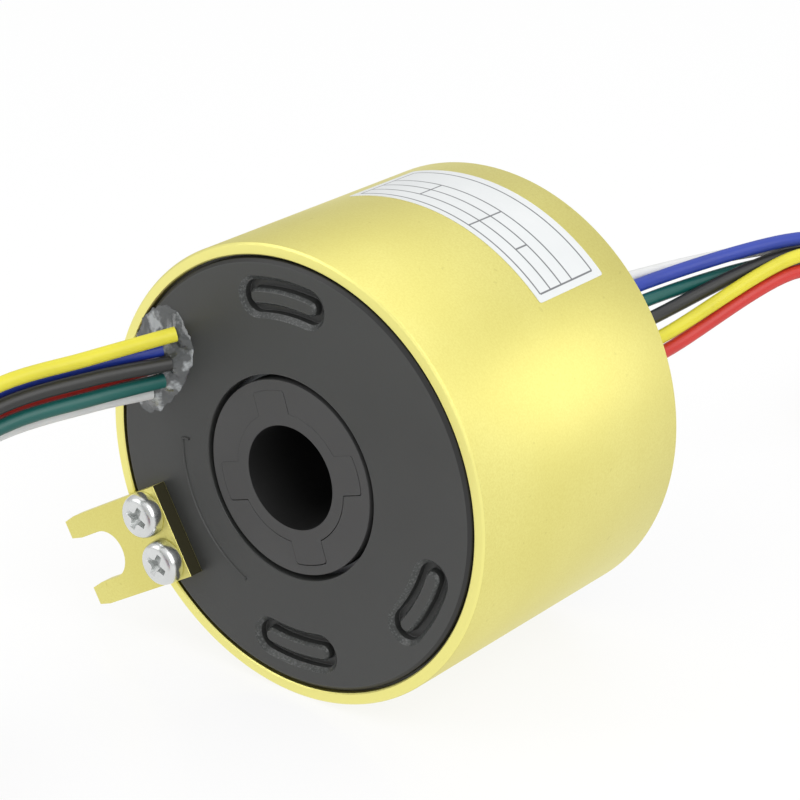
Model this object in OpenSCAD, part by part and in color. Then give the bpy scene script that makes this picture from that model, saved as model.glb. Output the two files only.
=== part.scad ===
// Through-bore slip ring, lying on its side.
// The bore runs along Y: the front face with the fixed lead outlet is at Y = 0,
// and the turning half leaves at the rear with its own leads.

/* [Housing] */
// Outer radius of the aluminium sleeve
housing_r = 28; // [27.5:0.25:32]
// Length of the sleeve
housing_len = 38; // [36:1:60]
// Wall of the sleeve at the two cover seats
housing_wall = 1.5; // [1:0.1:2]
// Step inside the sleeve that stops each cover
housing_step = 0.6; // [0.4:0.1:1.2]
// Chamfer on the outer edges of the sleeve
housing_chamfer = 0.35; // [0.1:0.05:0.6]

/* [Covers] */
// Thickness of each moulded cover
cover_t = 3; // [2.6:0.1:4]
// How far the front cover stands out of the sleeve
cover_proud = 0.1; // [0:0.05:0.3]
// Width of the bevel around each cover
cover_bevel = 0.55; // [0.3:0.05:0.8]
// Width of the fine groove between sleeve and cover
cover_groove = 0.3; // [0.1:0.05:0.5]
// Gap around the front end ring in the cover's hole
cover_hole_gap = 0.65; // [0.5:0.05:0.8]

/* [Cover pockets] */
// Distance of the pockets' middle line from the bevel of the cover
pocket_inset = 4; // [3.6:0.05:4.4]
// Half width of a pocket at the face
pocket_w = 2.45; // [2:0.05:2.7]
// Half angle of a pocket, end to end
pocket_half = 16.2; // [12:0.1:20]
// Depth of a pocket
pocket_depth = 1.4; // [0.6:0.1:1.8]
// Half width of the island in a pocket
island_w = 0.95; // [0.7:0.05:1.2]

/* [Rotor] */
// Radius of the through bore
bore_r = 6.35; // [5:0.05:6.6]
// Wall of the shaft tube
shaft_wall = 2.15; // [1.9:0.05:2.4]
// How much slimmer the shaft is between its front lugs
nose_step = 0.55; // [0.3:0.05:0.8]
// Height of the front lugs
lug_h = 2.65; // [2:0.05:3]
// Width of a front lug
lug_w = 4.7; // [3.5:0.1:5.5]
// Turn of the first lug from the X axis
lug_angle = 17.6; // [0:0.1:45]
// Width of the front end ring outside the lugs
end_ring_w = 1.25; // [0.8:0.05:1.5]
// How far the turning half lies behind the cover face
rotor_recess = 0.1; // [0.1:0.05:0.6]
// How far the rear collar stands out of the sleeve
collar_out = 7; // [6:0.5:12]
// Wall of the rear collar
collar_wall = 3.5; // [3:0.1:4.5]

/* [Contacts] */
// Number of circuits
circuits = 6; // [2:1:6]
// Width of one contact ring
ring_w = 2.2; // [1.8:0.1:2.2]
// Height of a contact ring on the shaft
ring_h = 4.1; // [3.5:0.1:4.5]
// Thickness of one insulating barrier
barrier_t = 1.1; // [0.8:0.1:1.1]
// How far a barrier stands above the contact rings
barrier_h = 1.6; // [1:0.1:2]
// Radius of one brush wire
brush_wire_r = 0.2; // [0.15:0.01:0.25]

/* [Bearings] */
// Width of each ball bearing
bearing_w = 5; // [4.5:0.1:5]
// Height of each bearing's section, from the shaft to its seat
bearing_h = 4.5; // [4.4:0.05:4.8]
// Radius of a ball
ball_r = 1.55; // [1.4:0.05:1.6]
// Number of balls in each bearing
ball_n = 12; // [8:1:14]

/* [Anti-rotation tab] */
// Thickness of the fork plate
tab_t = 2; // [1.5:0.1:3]
// Width of the fork plate
tab_w = 11.7; // [11:0.1:14]
// How far the fork plate reaches in from the outside of the sleeve
tab_hold = 7.75; // [7:0.05:9]
// Length of the fork plate
tab_len = 17.8; // [16:0.1:24]
// Width of the fork slot
slot_w = 6; // [4.5:0.1:6.5]
// Distance between the two tab screws
tab_screw_gap = 6.1; // [6:0.1:7]
// Direction of the tab, seen from the front
tab_angle = -150; // [-155:1:-145]

/* [Leads] */
// Diameter of one lead wire
wire_d = 1.8; // [1.6:0.1:2]

/* [Hidden] */
$fn = 96;
seat_gap = 0.02;          // clearance of a seat that is pushed or glued home
run_gap = 0.05;           // clearance between surfaces that roll or rub
line_gap = 0.08;          // clearance around the keyed lugs
island_down = 0.1;        // an island lies this much below the cover's face

wire_r = wire_d / 2;
floor_z = -housing_r;     // the surface that the sleeve lies on
lead_r = 0.45;            // bare hook-up lead inside the housing
screw_r = 1.5;            // M3
screw_head_r = 2.8;
screw_head_h = 1.9;

shaft_r = bore_r + shaft_wall;
shaft_nose_r = shaft_r - nose_step;
lug_r = shaft_nose_r + lug_h;
end_ring_r = lug_r + end_ring_w;
cover_hole_r = end_ring_r + cover_hole_gap;
bearing_r = shaft_r + bearing_h;
collar_r = shaft_r + collar_wall;
ring_r = shaft_r + ring_h;
barrier_r = ring_r + barrier_h;

bore_seat_r = housing_r - housing_wall;
pocket_r = bore_seat_r - cover_groove - cover_bevel - pocket_inset;
tab_in = housing_r - tab_hold;
cover_y = -cover_proud;
front_in = cover_y + cover_t + cover_proud;
rear_in = housing_len - cover_t;
rotor_y = cover_y + rotor_recess;
collar_end = housing_len + collar_out;

cover_lip = 2.2;          // depth of cover in front of each bearing
front_brg = [cover_lip, cover_lip + bearing_w];
rear_brg = [housing_len - cover_lip - bearing_w, housing_len - cover_lip];
boss_r = bearing_r + 3;
pitch_r = (shaft_r + bearing_r) / 2;
inner_race_r = pitch_r - 1;
outer_race_r = pitch_r + 1;
cage_w = 2 * ball_r + 0.3;

stack_len = circuits * ring_w + (circuits + 1) * barrier_t;
stack_y = (front_brg[1] + rear_brg[0] - stack_len) / 2;
ring_pitch = ring_w + barrier_t;
groove_d = 0.4;           // depth of a brush groove
groove_off = 0.5;         // a groove's distance from its ring's middle
brush_r = ring_r - groove_d + brush_wire_r / sin(45) + run_gap;

block_in = barrier_r + 3.2;
lead_space = 2.9;         // room for the leads between the boards and the sleeve
block_w = 7;
board_t = 1;
board_w = 9;
block_t = bore_seat_r - housing_step - lead_space - board_t - block_in;
brush_angles = [92, 272]; // the two brush blocks
brush_root = 1.5;         // how deep a brush wire is set in its block
brush_tail = 1.5;         // length of a brush wire past its contact

pocket_angles = [92, -28, -88.5];
outlet_angle = 154;
outlet_half = 16.6;
outlet_r = pocket_r;
pot_out = 1.3;            // potting that stands out of the front cover

tab_off = 1.06;           // the plate's middle line passes the axis at this distance
tab_y = cover_y - tab_t;
tab_screw_u = tab_in + 2.95;
tab_boss_r = 2.2;
tab_boss_h = 3;

lead_channel_d = 1.25;    // depth of a lead groove in the shaft
lead_channel_w = 1;
rear_angles = [-4, 8, 20, 32, 44, 56];
rear_wire_r = shaft_r + 1.5;
rear_pot_y = collar_end + 0.4;
collar_screw_angles = [120, 210, 300];

label_t = 0.08;
label_y = [21, 33.3];
label_a = [45.2, 107.5];

// Front leads: [name, colour, exit x, exit z, side in the bundle, height in the bundle,
// side on the floor, height on the floor].
front_leads = [
    ["yellow", "gold",      -15.9, 14.3,  1,  2.6,  1,  1.9],
    ["blue",   "royalblue", -18.2, 12.3, -1,  1.3, -1,  1.9],
    ["black",  "dimgray",   -16.9, 10.4,  1,  0,    1,  0],
    ["red",    "firebrick", -19.6, 10,   -1, -1.3, -1,  0],
    ["green",  "teal",      -18.2,  7.8,  1, -2.6,  1, -1.9],
    ["white",  "white",     -20.3,  5.9, -1, -3.6, -1, -1.9]];
// Middle line of the front bundle, from the exit to its coil.
front_air = [[-22.2, -9.5, 10], [-26.9, -19.5, 8.6]];
front_fall = [[-30.4, -28.4, 4.4], [-32.6, -34.6, -3], [-33.8, -38.8, -10.5], [-34.3, -43, -16.6]];
front_land = [-34.5, -47.2, -19.5];
front_hand = -1;
front_coil = [-21.9, -47.2];

// Rear leads: the same, leaving the collar on an arc.
rear_leads = [
    ["red",    "firebrick", 1, -2.3,  1, -1.9],
    ["yellow", "gold",      1,  0,    1,  0],
    ["black",  "dimgray",  -1.1, -0.4, -1, 0],
    ["green",  "teal",     -3, -2,   -1, -1.9],
    ["blue",   "royalblue",-1,  1.7,  1,  1.9],
    ["white",  "white",    -3,  1,   -1,  1.9]];
// Where each rear lead passes behind the sleeve, in the order of the list above.
rear_near = [[11.7, 60, 0.1], [11.4, 60, 2.2], [9.8, 60, 4.3], [8.2, 60, 6.1], [7.2, 60, 8], [5.2, 60, 9.6]];
// Middle line of the rear bundle.
rear_air = [[18.4, 79, 9.4], [23.6, 90, 6]];
rear_fall = [[26.6, 97.5, 0], [28, 103, -7], [28.8, 108, -13.4], [29.2, 112.8, -18]];
rear_land = [29.2, 117.4, -19.5];
rear_hand = 1;
rear_coil = [17.4, 117.4];

side_step = 0.96;         // half the distance between the two columns of a bundle
bundle_out = side_step + wire_r;      // from a bundle's middle line to its side
coil_in_r = 5.2 - bundle_out;
front_coil_r = 12.6 + bundle_out;     // middle line of the outer turn, and half a bundle
rear_coil_r = 11.8 + bundle_out;
coil_h = 11.3;            // two bundles, one on the other
tie_t = 0.8;
tie_w = 3;

ring_names = [for (i = [1:circuits]) str("contact_ring_", i)];
barrier_names = [for (i = [1:circuits + 1]) str("barrier_", i)];
front_names = [for (w = front_leads) str("stator_wire_", w[0])];
rear_names = [for (w = rear_leads) str("rotor_wire_", w[0])];

// ---- Helpers ----

// A flat outline in X and Z, made solid from y0 to y1.
module span(y0, y1) {
    rotate([90, 0, 0]) translate([0, 0, -y1]) linear_extrude(y1 - y0) children();
}

// An outline of [radius, y] points, turned about the Y axis.
module turned() {
    rotate([-90, 0, 0]) rotate_extrude() children();
}

// A plain ring from y0 to y1.
module ring(r_in, r_out, y0, y1) {
    turned() polygon([[r_in, y0], [r_out, y0], [r_out, y1], [r_in, y1]]);
}

// A round rod along Y at x, z.
module rod(x, z, r, y0, y1) {
    translate([x, y1, z]) rotate([90, 0, 0]) cylinder(r = r, h = y1 - y0);
}

// A curved slot with round ends about the Y axis, w to each side of radius r.
module arc_slot(r, mid, half, w, y0, y1) {
    end = half - asin(w / r);
    far = 2 * r;
    span(y0, y1) {
        intersection() {
            difference() {
                circle(r = r + w);
                circle(r = r - w);
            }
            polygon([[0, 0], far * [cos(mid - end), sin(mid - end)], far * [cos(mid), sin(mid)],
                far * [cos(mid + end), sin(mid + end)]]);
        }
        for (a = [mid - end, mid + end]) rotate(a) translate([r, 0]) circle(r = w - 0.02);
    }
}

function add(a, b) = [a[0] + b[0], a[1] + b[1], a[2] + b[2]];
function unit(v) = v / norm(v);
function tangent(p, i) = unit(p[min(i + 1, len(p) - 1)] - p[max(i - 1, 0)]);

// A tube of eight sides with one ring at each point of the route.
module tube(route, r) {
    sides = 8;
    n = len(route);
    rings = [for (i = [0:n - 1])
        let (t = tangent(route, i), a = unit(cross(t, [0, 0, 1])), b = cross(a, t))
        for (k = [0:sides - 1])
            route[i] + r * cos(360 * k / sides) * a + r * sin(360 * k / sides) * b];
    walls = [for (i = [0:n - 2]) for (k = [0:sides - 1])
        [i * sides + k, i * sides + (k + 1) % sides,
         (i + 1) * sides + (k + 1) % sides, (i + 1) * sides + k]];
    start = [for (k = [sides - 1:-1:0]) k];
    finish = [for (k = [0:sides - 1]) (n - 1) * sides + k];
    polyhedron(points = rings, faces = concat([start], walls, [finish]), convexity = 6);
}

// A bundle's point i, moved a to the side and b upwards, both square to the path.
function moved(p, i, hand, a, b) = let (t = tangent(p, i), side = hand * unit([t[1], -t[0], 0]))
    p[i] + a * side_step * side + b * hand * cross(side, t);

front_line = concat(front_air, front_fall, [front_land]);
rear_line = concat(rear_air, rear_fall, [rear_land]);

// How far along its bundle a lead has changed over from its place in the air to that in the coil.
function change(i, in_air, last) = min(1, max(0, (i - in_air + 1) / (last - in_air)));

function front_route(w) = concat(
    [[w[2], cover_y - pot_out, w[3]]],
    [for (i = [0:len(front_line) - 1]) let (s = change(i, len(front_air), len(front_line) - 1))
        moved(front_line, i, front_hand, w[4] + s * (w[6] - w[4]), w[5] + s * (w[7] - w[5]))]);

function rear_route(k) = let (w = rear_leads[k], a = rear_angles[k]) concat(
    [[rear_wire_r * cos(a), rear_pot_y, rear_wire_r * sin(a)], rear_near[k]],
    [for (i = [0:len(rear_line) - 1]) let (s = change(i, len(rear_air), len(rear_line) - 1))
        moved(rear_line, i, rear_hand, w[2] + s * (w[4] - w[2]), w[3] + s * (w[5] - w[3]))]);

// ---- Housing and covers ----

module housing_sleeve() {
    c = housing_chamfer;
    r1 = bore_seat_r;
    r2 = bore_seat_r - housing_step;
    color("khaki") turned() polygon([
        [r1 + 0.15, 0], [housing_r - c, 0], [housing_r, c], [housing_r, housing_len - c],
        [housing_r - c, housing_len], [r1 + 0.15, housing_len], [r1, housing_len - 0.15],
        [r1, rear_in], [r2, rear_in], [r2, front_in], [r1, front_in], [r1, 0.15]]);
}

// Half outline of a cover whose outer face is at y = 0 and whose inside is towards +y.
module cover_outline(t) {
    r = bore_seat_r - cover_groove;
    edge_r = 0.12;
    polygon([
        [cover_hole_r + edge_r, 0], [r - cover_bevel, 0], [r, 0.3], [r, 0.9],
        [bore_seat_r - seat_gap, 0.9], [bore_seat_r - seat_gap, t],
        [boss_r, t], [boss_r, cover_lip + bearing_w + cover_proud],
        [bearing_r + seat_gap, cover_lip + bearing_w + cover_proud],
        [bearing_r + seat_gap, cover_lip + cover_proud],
        [cover_hole_r, cover_lip + cover_proud], [cover_hole_r, edge_r]]);
}

// The hollow of a pocket.
module pocket(a) {
    arc_slot(pocket_r, a, pocket_half, pocket_w, cover_y - 1, cover_y + pocket_depth);
}

// The island that stands in a pocket.
module island(a) {
    island_half = pocket_half - asin((pocket_w - island_w) / pocket_r);
    arc_slot(pocket_r, a, island_half, island_w, cover_y + island_down, cover_y + pocket_depth + 0.5);
}

module at_tab_screws() {
    for (s = [-1, 1])
        rotate([0, -tab_angle, 0]) translate([tab_screw_u, 0, tab_off + s * tab_screw_gap / 2])
            children();
}

module front_cover() {
    rib_r = pocket_r - 5.05;
    rib_w = 0.22;
    color([0.27, 0.28, 0.27]) {
        for (a = pocket_angles) island(a);
        difference() {
            union() {
                translate([0, cover_y, 0]) turned() cover_outline(cover_t + cover_proud);
                arc_slot(rib_r, -148, 33.5, rib_w, cover_y - 0.15, cover_y + 1);
                at_tab_screws() rotate([90, 0, 0]) translate([0, 0, -front_in - tab_boss_h])
                    cylinder(r = tab_boss_r, h = tab_boss_h + 1);
            }
            for (a = pocket_angles) pocket(a);
            arc_slot(outlet_r, outlet_angle, outlet_half, pocket_w, cover_y - 1, front_in + 1);
            at_tab_screws() rotate([90, 0, 0]) translate([0, 0, -front_in - tab_boss_h - 1])
                cylinder(r = screw_r + seat_gap, h = tab_boss_h + cover_t + 3);
        }
    }
}

module rear_cover() {
    color([0.27, 0.28, 0.27])
        translate([0, housing_len + cover_proud, 0]) mirror([0, 1, 0])
            turned() cover_outline(cover_t + cover_proud);
}

// ---- Anti-rotation tab ----

module tab_plate() {
    tip = tab_in + tab_len;
    half = tab_w / 2;
    flare = 0.3;
    color([0.92, 0.87, 0.5]) span(tab_y, cover_y) rotate(tab_angle) translate([0, tab_off]) difference() {
        polygon([[tab_in, -half], [tip - 1.8, -half], [tip, flare - half],
            [tip, half - flare], [tip - 1.8, half], [tab_in, half]]);
        translate([tip - 5, 0]) circle(r = slot_w / 2);
        polygon([[tip - 5, -slot_w / 2], [tip - 1.8, -slot_w / 2], [tip, -slot_w / 2 - flare],
            [tip + 1, -slot_w / 2 - flare], [tip + 1, slot_w / 2 + flare],
            [tip, slot_w / 2 + flare], [tip - 1.8, slot_w / 2], [tip - 5, slot_w / 2]]);
        for (s = [-1, 1]) translate([tab_screw_u, s * tab_screw_gap / 2]) circle(r = screw_r + 0.1);
    }
}

module tab_screws() {
    length = tab_t + cover_t + 1.5;
    color("gainsboro") at_tab_screws() difference() {
        translate([0, tab_y, 0]) turned() polygon([
            [0, -screw_head_h], [1.2, -screw_head_h], [2.05, -screw_head_h + 0.25],
            [2.6, -screw_head_h + 0.85], [screw_head_r, -screw_head_h + 1.3], [screw_head_r, 0],
            [screw_r, 0], [screw_r, length - 0.4], [screw_r - 0.4, length], [0, length]]);
        for (a = [72, 162]) rotate([0, a, 0])
            translate([-1.5, tab_y - screw_head_h - 1, -0.32]) cube([3, 2.1, 0.64]);
    }
}

// ---- Bearings ----

module race(r_in, r_out, span_y) {
    mid = (span_y[0] + span_y[1]) / 2;
    c = 0.2;
    color("silver") turned() difference() {
        polygon([[r_in + c, span_y[0]], [r_out - c, span_y[0]], [r_out, span_y[0] + c],
            [r_out, span_y[1] - c], [r_out - c, span_y[1]], [r_in + c, span_y[1]],
            [r_in, span_y[1] - c], [r_in, span_y[0] + c]]);
        translate([pitch_r, mid]) circle(r = ball_r + run_gap);
    }
}

module at_balls(span_y) {
    for (i = [0:ball_n - 1]) rotate([0, 360 * i / ball_n, 0])
        translate([pitch_r, (span_y[0] + span_y[1]) / 2, 0]) children();
}

module balls(span_y) {
    color("lightgray") at_balls(span_y) sphere(r = ball_r, $fn = 40);
}

module cage(span_y) {
    mid = (span_y[0] + span_y[1]) / 2;
    color("peru") difference() {
        ring(pitch_r - 0.6, pitch_r + 0.6, mid - cage_w / 2, mid + cage_w / 2);
        at_balls(span_y) translate([-ball_r, 0, 0]) rotate([0, 90, 0])
            cylinder(r = ball_r + run_gap, h = 2 * ball_r, $fn = 40);
    }
}

// ---- Rotor ----

module lug_outline(extra) {
    for (k = [0:3]) rotate(lug_angle + 90 * k) translate([0, -lug_w / 2 - extra])
        square([lug_r + 1, lug_w + 2 * extra]);
}

module rotor_shaft() {
    color([0.3, 0.31, 0.3]) difference() {
        union() {
            ring(bore_r, shaft_r, cover_lip, collar_end);
            span(rotor_y, cover_lip) union() {
                circle(r = shaft_nose_r);
                intersection() {
                    circle(r = lug_r);
                    lug_outline(0);
                }
            }
        }
        rod(0, 0, bore_r, rotor_y - 1, collar_end + 1);
        for (a = rear_angles) rotate([0, -a, 0])
            translate([shaft_r - lead_channel_d, front_brg[1] + 0.01, -lead_channel_w / 2])
                cube([lead_channel_d + 1, collar_end, lead_channel_w]);
        for (a = collar_screw_angles) rotate([0, -a, 0])
            translate([0, collar_end - collar_out / 2, 0]) rotate([0, 90, 0])
                cylinder(r = screw_r + seat_gap, h = shaft_r + 1);
    }
}

module front_end_ring() {
    relief_r = inner_race_r - 0.15;
    color([0.28, 0.29, 0.28]) difference() {
        turned() polygon([
            [shaft_nose_r + line_gap, rotor_y], [end_ring_r - 0.12, rotor_y],
            [end_ring_r, rotor_y + 0.12], [end_ring_r, cover_lip - 0.3],
            [relief_r, cover_lip - 0.3], [relief_r, cover_lip], [shaft_nose_r + line_gap, cover_lip]]);
        span(rotor_y - 1, cover_lip + 1) intersection() {
            circle(r = lug_r + line_gap);
            lug_outline(line_gap);
        }
    }
}

module rear_collar() {
    hub_r = inner_race_r - 0.15;
    y0 = rear_brg[1];
    color([0.3, 0.31, 0.3]) difference() {
        turned() polygon([
            [shaft_r + seat_gap, y0], [hub_r, y0], [hub_r, y0 + 0.3], [collar_r, y0 + 0.3],
            [collar_r, collar_end - 0.5], [collar_r - 0.5, collar_end], [shaft_r + seat_gap, collar_end]]);
        arc_slot(rear_wire_r, 26, 40, wire_r + 0.1, y0 + 0.8, collar_end + 1);
        for (a = collar_screw_angles) rotate([0, -a, 0])
            translate([0, collar_end - collar_out / 2, 0]) rotate([0, 90, 0])
                cylinder(r = screw_r + seat_gap, h = collar_r + 1);
    }
}

module collar_screws() {
    socket_r = 0.86;
    color("dimgray") for (a = collar_screw_angles) rotate([0, -a, 0])
        translate([bore_r + 0.2, collar_end - collar_out / 2, 0]) rotate([0, 90, 0]) difference() {
            cylinder(r = screw_r, h = collar_r - bore_r - 0.5);
            translate([0, 0, collar_r - bore_r - 2]) cylinder(r = socket_r, h = 2, $fn = 6);
        }
}

function ring_mid(i) = stack_y + barrier_t + ring_w / 2 + i * ring_pitch;

module contact_ring(i) {
    m = ring_mid(i);
    h = ring_w / 2;
    g = groove_d;
    color("goldenrod") turned() polygon([
        [shaft_r + seat_gap, m - h], [ring_r, m - h],
        [ring_r, m - groove_off - g], [ring_r - g, m - groove_off], [ring_r, m - groove_off + g],
        [ring_r, m + groove_off - g], [ring_r - g, m + groove_off], [ring_r, m + groove_off + g],
        [ring_r, m + h], [shaft_r + seat_gap, m + h]]);
}

module barrier(i) {
    y0 = stack_y + i * ring_pitch;
    color([0.12, 0.12, 0.12]) ring(shaft_r + seat_gap, barrier_r, y0, y0 + barrier_t);
}

module rotor_leads() {
    r = shaft_r - lead_r - 0.08;
    color("orangered") for (i = [0:circuits - 1]) rotate([0, -rear_angles[i], 0]) {
        rod(r, 0, lead_r, ring_mid(i) - 0.6, collar_end - 0.2);
        translate([r, ring_mid(i), 0]) rotate([0, 90, 0]) cylinder(r = 0.35, h = shaft_r - r);
    }
}

module rotor_potting() {
    color([0.5, 0.5, 0.5])
        arc_slot(rear_wire_r, 26, 40, wire_r + 0.1, rear_brg[1] + 0.8, rear_pot_y);
}

// ---- Brushes ----

module brush_block(a) {
    color("darkolivegreen") rotate([0, -a, 0])
        translate([block_in, front_in, -block_w / 2]) cube([block_t, rear_in - front_in, block_w]);
}

module brush_board(a) {
    color("seagreen") rotate([0, -a, 0])
        translate([block_in + block_t, front_in + 2, -board_w / 2])
            cube([board_t, rear_in - front_in - 4, board_w]);
}

// One hairpin brush for each ring, its two wires running along both sides of the ring.
module brush_wires(a, side) {
    lean = asin(brush_r / block_in);
    reach = sqrt(block_in * block_in - brush_r * brush_r) + brush_tail;
    color("gold") for (i = [0:circuits - 1]) rotate([0, -a, 0])
        translate([block_in, ring_mid(i) + side * groove_off, 0]) {
            for (s = [-1, 1]) rotate([0, -90 + s * lean, 0]) cylinder(r = brush_wire_r, h = reach, $fn = 24);
            rotate([0, 90, 0]) cylinder(r = brush_wire_r, h = brush_root, $fn = 24);
            sphere(r = brush_wire_r, $fn = 24);
        }
}

// Bare leads from each board, around the inside of the housing, to the potting.
module stator_leads() {
    board_out = block_in + block_t + board_t;
    r = sqrt(pow(board_out, 2) + pow(board_w / 2, 2)) + lead_r + 0.1;
    // [block, circuit, end angle]
    runs = [[0, 0, 142], [0, 1, 147], [0, 2, 152], [1, 0, 169], [1, 1, 164], [1, 2, 159]];
    color("orange") for (w = runs) {
        y = ring_mid(w[1]) - 1;
        from = brush_angles[w[0]];
        rotate([90, 0, 0]) translate([0, 0, -y]) rotate([0, 0, min(from, w[2])])
            rotate_extrude(angle = abs(from - w[2])) translate([r, 0]) circle(r = lead_r, $fn = 32);
        rotate([0, -w[2], 0]) {
            rod(r, 0, lead_r + 0.05, front_in, y + lead_r + 0.05);
        }
    }
}

module stator_potting() {
    color([0.55, 0.56, 0.57])
        arc_slot(outlet_r, outlet_angle, outlet_half, pocket_w, cover_y - pot_out, front_in);
}

module name_label() {
    color("whitesmoke") rotate([90, 0, 0]) rotate([0, 0, label_a[0]])
        rotate_extrude(angle = label_a[1] - label_a[0]) polygon([
            [housing_r, -label_y[0]], [housing_r + label_t, -label_y[0]],
            [housing_r + label_t, -label_y[1]], [housing_r, -label_y[1]]]);
}

// ---- Leads, coils and ties ----

module coil(c, r) {
    translate([c[0], c[1], floor_z]) rotate_extrude() polygon([
        [coil_in_r + 0.6, 0], [r - 0.6, 0], [r, 0.6], [r, coil_h - 0.6],
        [r - 0.6, coil_h], [coil_in_r + 0.6, coil_h], [coil_in_r, coil_h - 0.6], [coil_in_r, 0.6]]);
}

// A strap over a coil, from the floor inside it to the floor outside it.
module tie(c, r, a) {
    leg = sqrt(pow(coil_in_r, 2) - pow(tie_w / 2, 2)) - 0.02;
    color("ivory") translate([c[0], c[1], floor_z]) rotate([0, 0, a])
        rotate([90, 0, 0]) translate([0, 0, -tie_w / 2]) linear_extrude(tie_w) difference() {
            translate([leg - tie_t, 0]) square([r - leg + 2 * tie_t, coil_h + tie_t]);
            translate([leg, -1]) square([r - leg, coil_h + 1]);
        }
}

// ---- Assembly ----

housing_sleeve();
front_cover();
rear_cover();
tab_plate();
tab_screws();
race(outer_race_r, bearing_r, front_brg);  // front_bearing_outer
race(outer_race_r, bearing_r, rear_brg);  // rear_bearing_outer
race(shaft_r + seat_gap, inner_race_r, front_brg);  // front_bearing_inner
race(shaft_r + seat_gap, inner_race_r, rear_brg);  // rear_bearing_inner
balls(front_brg);  // front_balls
balls(rear_brg);  // rear_balls
cage(front_brg);  // front_cage
cage(rear_brg);  // rear_cage
brush_block(brush_angles[0]);  // brush_block_upper
brush_block(brush_angles[1]);  // brush_block_lower
brush_wires(brush_angles[0], -1);  // brush_wires_upper
brush_wires(brush_angles[1], 1);  // brush_wires_lower
brush_board(brush_angles[0]);  // brush_board_upper
brush_board(brush_angles[1]);  // brush_board_lower
stator_leads();
stator_potting();
name_label();
rotor_shaft();
front_end_ring();
rear_collar();
collar_screws();
color("dimgray") ring(shaft_r + seat_gap, inner_race_r - 0.15, front_brg[1], stack_y);  // front_spacer
color("dimgray") ring(shaft_r + seat_gap, inner_race_r - 0.15, stack_y + stack_len, rear_brg[0]);  // rear_spacer
rotor_leads();
rotor_potting();
for (i = [0:circuits - 1]) contact_ring(i);
for (i = [0:circuits]) barrier(i);
for (i = [0:5]) color(front_leads[i][1]) tube(front_route(front_leads[i]), wire_r);
for (i = [0:5]) color(rear_leads[i][1]) tube(rear_route(i), wire_r);
color("gray") coil(front_coil, front_coil_r);  // stator_coil
color("gray") coil(rear_coil, rear_coil_r);  // rotor_coil
tie(front_coil, front_coil_r, -60);  // stator_tie
tie(rear_coil, rear_coil_r, 120);  // rotor_tie
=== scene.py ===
# %% [markdown]
# # A through-bore slip ring
# A slip ring carries electric current from a fixed half to a turning half. The fixed half is a gold
# anodised sleeve with a dark moulded cover, a forked tab and six leads. The turning half is a tube with
# a 12.7 mm bore, a key ring at the front, a clamp collar at the rear and six leads of its own.
# The CAD frame is loaded first, and every visible piece is then built around it in the same place.

# %% Load the CAD frame
import math

import bmesh
import bpy
from mathutils import Matrix, Vector, noise

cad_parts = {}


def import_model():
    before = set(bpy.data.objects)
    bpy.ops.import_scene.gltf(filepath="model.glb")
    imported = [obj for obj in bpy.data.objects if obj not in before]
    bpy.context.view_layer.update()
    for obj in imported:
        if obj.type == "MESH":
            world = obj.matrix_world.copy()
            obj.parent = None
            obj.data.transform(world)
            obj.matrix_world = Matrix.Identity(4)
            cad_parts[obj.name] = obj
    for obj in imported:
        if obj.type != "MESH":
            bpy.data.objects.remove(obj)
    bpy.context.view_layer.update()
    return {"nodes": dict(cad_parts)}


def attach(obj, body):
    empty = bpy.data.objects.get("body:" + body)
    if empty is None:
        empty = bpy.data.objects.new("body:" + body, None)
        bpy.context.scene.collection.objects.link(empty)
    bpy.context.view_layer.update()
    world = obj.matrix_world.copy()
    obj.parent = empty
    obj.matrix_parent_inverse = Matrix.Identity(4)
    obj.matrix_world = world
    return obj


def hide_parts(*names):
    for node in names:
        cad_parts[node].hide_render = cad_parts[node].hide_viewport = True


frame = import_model()
MM = 0.001

# %% [markdown]
# ## The stage
# The product stands on a white table. The table is a diffuse sheet with a faint polish, and it also
# glows for camera and glossy rays, so that it looks white without more light on the product.

# %% Camera


def linked(name, data):
    """A new object in the scene, with its origin at the identity."""
    thing = bpy.data.objects.new(name, data)
    bpy.context.scene.collection.objects.link(thing)
    return thing


CAMERA_PLACE = (0.1887, -0.21484, 0.129)
CAMERA_AIM = (-0.5777, 0.7196, -0.3853)
camera = linked("camera", bpy.data.cameras.new("camera"))
camera.location = CAMERA_PLACE
camera.rotation_mode = "QUATERNION"
camera.rotation_quaternion = Vector(CAMERA_AIM).to_track_quat("-Z", "Y")
camera.data.sensor_width = 36
camera.data.lens = 122.98
camera.data.clip_start, camera.data.clip_end = 0.01, 20
bpy.context.scene.camera = camera
bpy.context.scene.view_settings.view_transform = "Standard"

# %% [markdown]
# ## Shader maths as Python
# A material is easier to read as an expression than as a chain of nodes. `Sig` wraps one output socket,
# and adding or multiplying two of them adds the Math node that does it.

# %% A socket that does arithmetic


class Sig:
    def __init__(self, tree, socket):
        self.tree, self.socket = tree, socket

    def call(self, operation, *others):
        return self.tree.maths(operation, self, *others)

    def __add__(self, other):
        return self.call("ADD", other)

    def __radd__(self, other):
        return self.tree.maths("ADD", other, self)

    def __sub__(self, other):
        return self.call("SUBTRACT", other)

    def __rsub__(self, other):
        return self.tree.maths("SUBTRACT", other, self)

    def __mul__(self, other):
        return self.call("MULTIPLY", other)


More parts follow.
